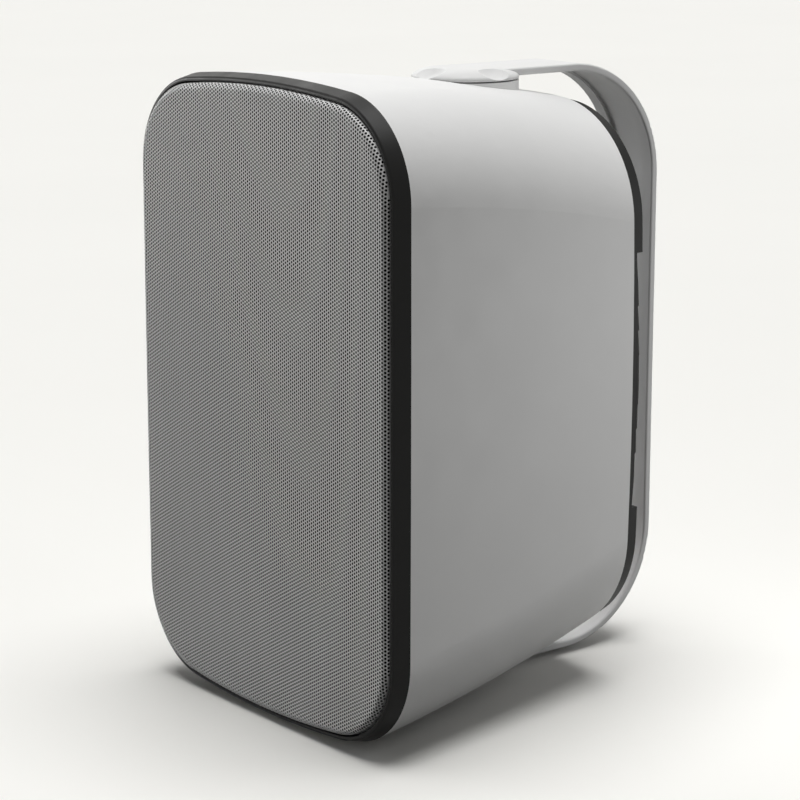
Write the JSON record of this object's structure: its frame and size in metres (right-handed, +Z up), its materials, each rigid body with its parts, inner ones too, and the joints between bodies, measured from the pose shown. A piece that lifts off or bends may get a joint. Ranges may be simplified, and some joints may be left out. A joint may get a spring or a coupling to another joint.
{
  "type": "outdoor wall speaker",
  "caption": "Tapered outdoor two-way speaker with a perforated grille, held in a C-shaped swivel wall bracket, with a woofer, a dome tweeter and a rear passive radiator inside.",
  "frame": {"origin": "on the wall plane, in the middle between the bracket's two wall screw holes", "axes": "+Z up, +Y into the wall, so the grille faces -Y, and +X to the right for someone who looks at the grille"},
  "size_m": [0.1758, 0.2067, 0.2652],
  "materials": {
    "white_shell": "satin",
    "white_bracket": "satin",
    "white_grille": "matte",
    "black_plastic": "satin",
    "black_cloth": "matte",
    "spider_cloth": "matte",
    "rubber": "matte",
    "cone_plastic": "matte",
    "coil_aluminium": "satin",
    "plate_steel": "zinc plated",
    "ferrite": "matte",
    "steel": "stainless",
    "brass": "turned",
    "red_cap": "gloss",
    "black_cap": "gloss",
    "board": "satin",
    "ceramic": "matte"
  },
  "bodies": {
    "bracket": {"wall_bracket": "white_bracket", "top_pivot_cap": "white_bracket", "bottom_pivot_cap": "white_bracket"},
    "speaker": {"cabinet_shell": "white_shell", "front_baffle": "black_plastic", "rear_panel": "black_plastic", "grille": "white_grille", "grille_cloth": "black_cloth", "baffle_screws": "steel", "rear_panel_screws": "steel", "woofer_screws": "steel", "tweeter_screws": "steel", "radiator_screws": "steel", "terminal_screws": "steel", "top_pivot_screw": "steel", "bottom_pivot_screw": "steel", "top_pivot_insert": "brass", "bottom_pivot_insert": "brass", "top_friction_washer": "rubber", "bottom_friction_washer": "rubber", "woofer_gasket": "rubber", "tweeter_gasket": "rubber", "radiator_gasket": "rubber", "woofer_surround": "rubber", "radiator_surround": "rubber", "tweeter_surround": "black_cloth", "woofer_spider": "spider_cloth", "woofer_basket": "black_plastic", "woofer_top_plate": "plate_steel", "woofer_yoke": "plate_steel", "woofer_magnet": "ferrite", "tweeter_faceplate": "black_plastic", "tweeter_top_plate": "plate_steel", "tweeter_yoke": "plate_steel", "tweeter_magnet": "ferrite", "radiator_frame": "black_plastic", "terminal_plate": "black_plastic", "terminal_post_positive": "brass", "terminal_post_negative": "brass", "crossover_standoffs": "black_plastic", "crossover_board": "board", "crossover_inductor": "brass", "crossover_capacitors": "black_cap", "crossover_resistor": "ceramic"},
    "woofer_moving": {"woofer_cone": "cone_plastic", "woofer_dust_cap": "cone_plastic", "woofer_voice_coil": "coil_aluminium"},
    "tweeter_moving": {"tweeter_dome": "coil_aluminium"},
    "radiator_moving": {"radiator_cone": "cone_plastic"},
    "cap_positive": {"terminal_cap_positive": "red_cap"},
    "cap_negative": {"terminal_cap_negative": "black_cap"}
  },
  "joints": [
    {"name": "speaker_swivel", "type": "hinge", "parent": "bracket", "child": "speaker", "pos_m": [0, -0.0985, 0], "axis": [0, 0, 1], "range_deg": [-85, 85]},
    {"name": "woofer_travel", "type": "slide", "parent": "speaker", "child": "woofer_moving", "axis": [0, -1, 0], "range_m": [-0.003, 0.003], "stiffness_N_per_m": 1200, "deforming": ["woofer_surround", "woofer_spider"]},
    {"name": "tweeter_travel", "type": "slide", "parent": "speaker", "child": "tweeter_moving", "axis": [0, -1, 0], "range_m": [-0.0004, 0.0004], "stiffness_N_per_m": 400, "deforming": ["tweeter_surround"]},
    {"name": "radiator_travel", "type": "slide", "parent": "speaker", "child": "radiator_moving", "axis": [0, -1, 0], "range_m": [-0.005, 0.005], "stiffness_N_per_m": 1500, "deforming": ["radiator_surround"]},
    {"name": "positive_cap_turn", "type": "hinge", "parent": "speaker", "child": "cap_positive", "pos_m": [0.011, -0.0475, -0.084], "axis": [0, 1, 0], "continuous": true},
    {"name": "negative_cap_turn", "type": "hinge", "parent": "speaker", "child": "cap_negative", "pos_m": [-0.011, -0.0475, -0.084], "axis": [0, 1, 0], "continuous": true}
  ]
}
